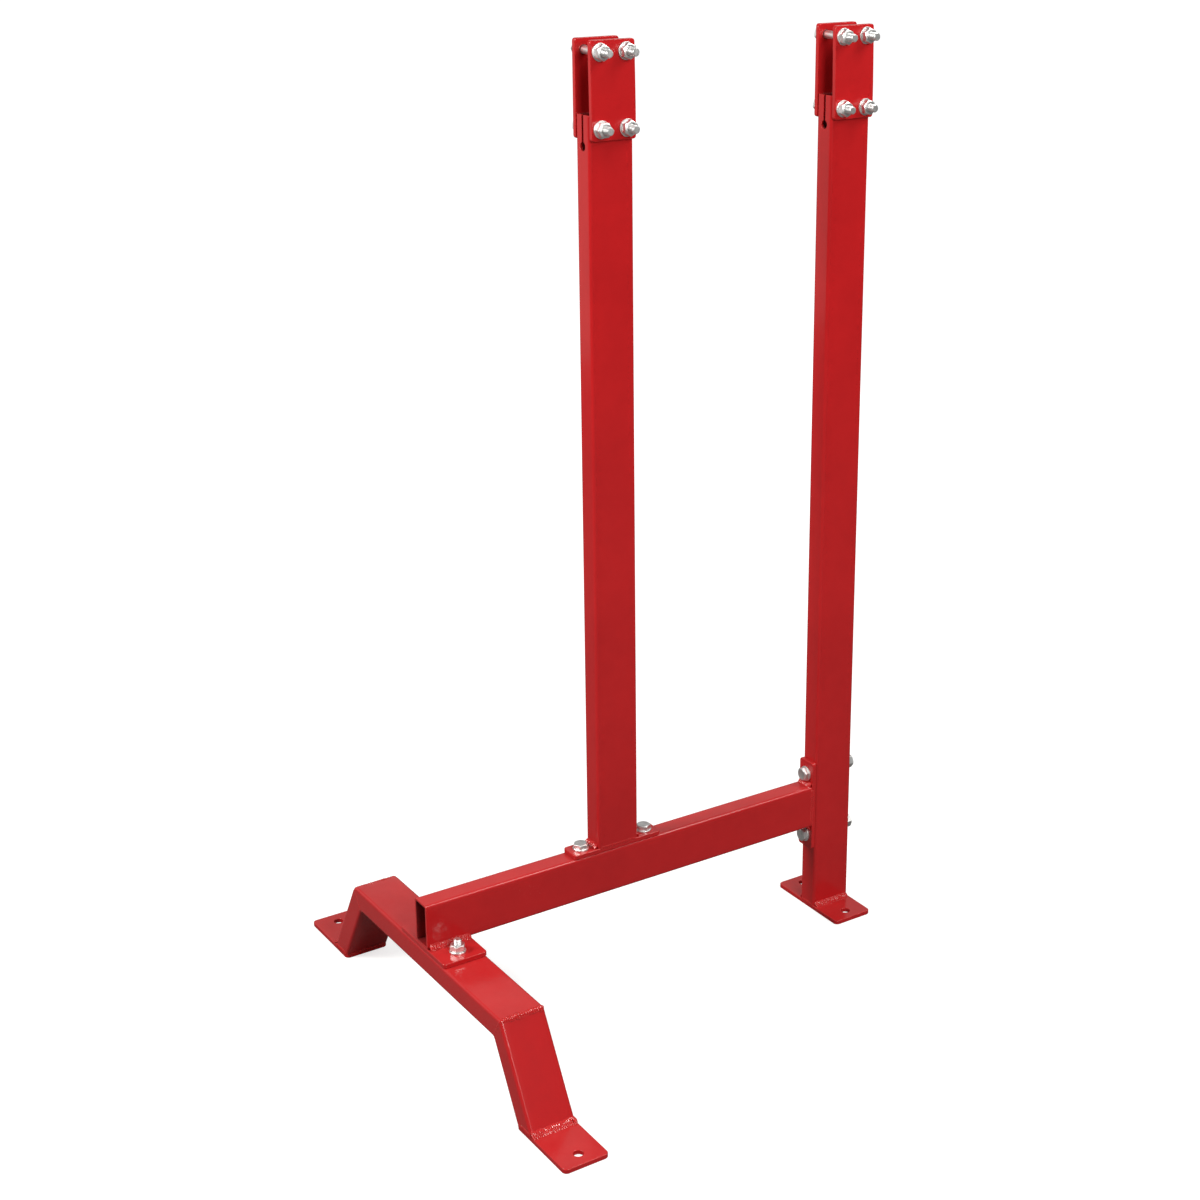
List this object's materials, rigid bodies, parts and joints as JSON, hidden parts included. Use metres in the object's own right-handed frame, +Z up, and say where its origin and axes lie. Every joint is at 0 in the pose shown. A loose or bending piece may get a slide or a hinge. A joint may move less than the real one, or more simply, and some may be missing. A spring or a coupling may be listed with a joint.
{
  "type": "tyre storage rack",
  "caption": "Bolted box-section floor stand for a tyre rack: bridge-shaped front foot, tie bar and upright posts that end in forked clamp heads for a storage rail.",
  "frame": {"origin": "on the floor, in the middle of the stand's rectangular outline seen from above", "axes": "+X to the stand's right across the front foot, +Y from the front foot to the rear post, +Z up along the posts"},
  "size_m": [0.68, 0.669, 1.214],
  "materials": {
    "red_powder_coat": "gloss red powder coat over welded steel, slight orange peel, dust nibs and softened edges",
    "zinc_plated_steel": "bright zinc plate with faint rolled grain"
  },
  "bodies": {
    "root": {"crossbar_tube": "red_powder_coat", "left_leg_tube": "red_powder_coat", "right_leg_tube": "red_powder_coat", "left_foot_plate": "red_powder_coat", "right_foot_plate": "red_powder_coat", "mitre_welds": "red_powder_coat", "foot_plate_welds": "red_powder_coat", "tie_bar_tube": "red_powder_coat", "tie_bar_front_flange": "red_powder_coat", "tie_bar_rear_flange": "red_powder_coat", "tie_bar_front_welds": "red_powder_coat", "tie_bar_rear_welds": "red_powder_coat", "front_post_tube": "red_powder_coat", "front_post_flange": "red_powder_coat", "front_post_welds": "red_powder_coat", "rear_post_tube": "red_powder_coat", "rear_floor_plate": "red_powder_coat", "rear_post_welds": "red_powder_coat", "front_head_left_cheek": "red_powder_coat", "front_head_right_cheek": "red_powder_coat", "rear_head_left_cheek": "red_powder_coat", "rear_head_right_cheek": "red_powder_coat", "front_head_bolts": "zinc_plated_steel", "front_head_nuts": "zinc_plated_steel", "front_head_washers": "zinc_plated_steel", "rear_head_bolts": "zinc_plated_steel", "rear_head_nuts": "zinc_plated_steel", "rear_head_washers": "zinc_plated_steel", "crossbar_joint_bolts": "zinc_plated_steel", "crossbar_joint_nuts": "zinc_plated_steel", "crossbar_joint_washers": "zinc_plated_steel", "post_joint_bolts": "zinc_plated_steel", "post_joint_captive_nuts": "zinc_plated_steel", "post_joint_washers": "zinc_plated_steel", "tie_joint_bolts": "zinc_plated_steel", "tie_joint_nuts": "zinc_plated_steel", "tie_joint_washers": "zinc_plated_steel"}
  },
  "joints": []
}
